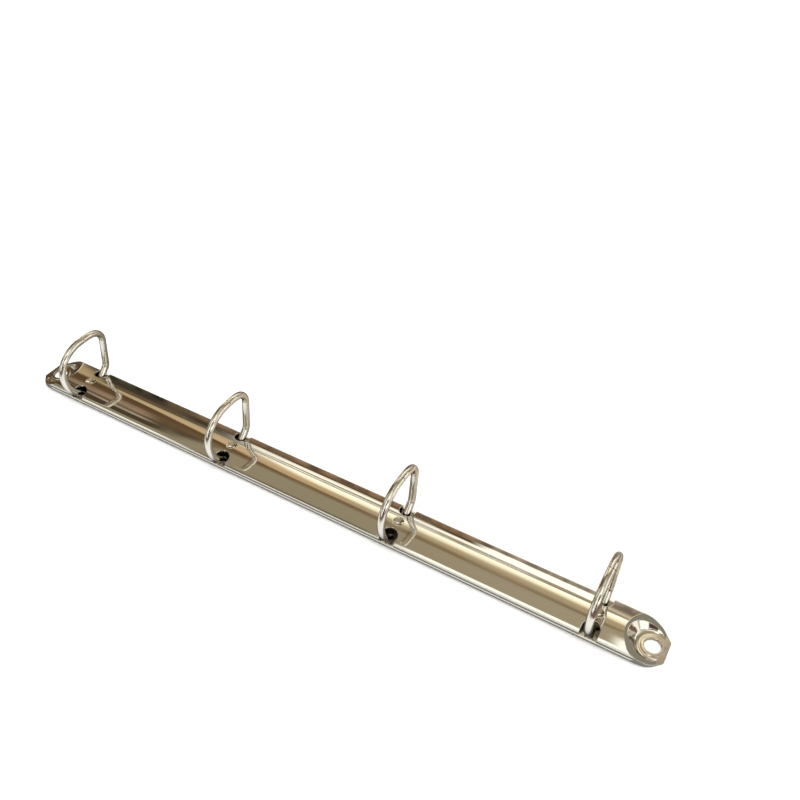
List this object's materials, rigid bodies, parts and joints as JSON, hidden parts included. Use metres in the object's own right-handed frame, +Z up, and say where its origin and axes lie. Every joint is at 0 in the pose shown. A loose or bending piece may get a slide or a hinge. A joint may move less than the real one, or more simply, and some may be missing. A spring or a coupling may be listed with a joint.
{
  "type": "ring binder mechanism",
  "caption": "Long arched steel cover over paired hinged blades that carry split D-shaped rings, with a dished rivet seat at each end; it opens and shuts to hold punched paper.",
  "frame": {"origin": "midway between the two rivet holes, on the plane that the cover's seats and lips lie on", "axes": "+X along the cover, -Y towards the round ring halves, +Z up out of the rings' side"},
  "size_m": [0.291, 0.0277, 0.0287],
  "materials": {
    "plated_cover": "bright nickel plate",
    "blade_steel": "plated strip steel",
    "plated_wire": "bright nickel plate"
  },
  "bodies": {
    "cover": {"cover": "plated_cover"},
    "near_half": {"near_blade": "blade_steel", "near_ring_1": "plated_wire", "near_ring_2": "plated_wire", "near_ring_3": "plated_wire", "near_ring_4": "plated_wire"},
    "far_half": {"far_blade": "blade_steel", "far_ring_1": "plated_wire", "far_ring_2": "plated_wire", "far_ring_3": "plated_wire", "far_ring_4": "plated_wire"}
  },
  "joints": [
    {"name": "near_hinge", "type": "hinge", "parent": "cover", "child": "near_half", "pos_m": [0, -0.00835, 0.00125], "axis": [1, 0, 0], "range_deg": [0, 19]},
    {"name": "far_hinge", "type": "hinge", "parent": "cover", "child": "far_half", "pos_m": [0, 0.00835, 0.00125], "axis": [1, 0, 0], "range_deg": [-19, 0]}
  ],
  "couplings": [
    {"joint": "far_hinge", "follows": "near_hinge", "ratio": -1}
  ]
}
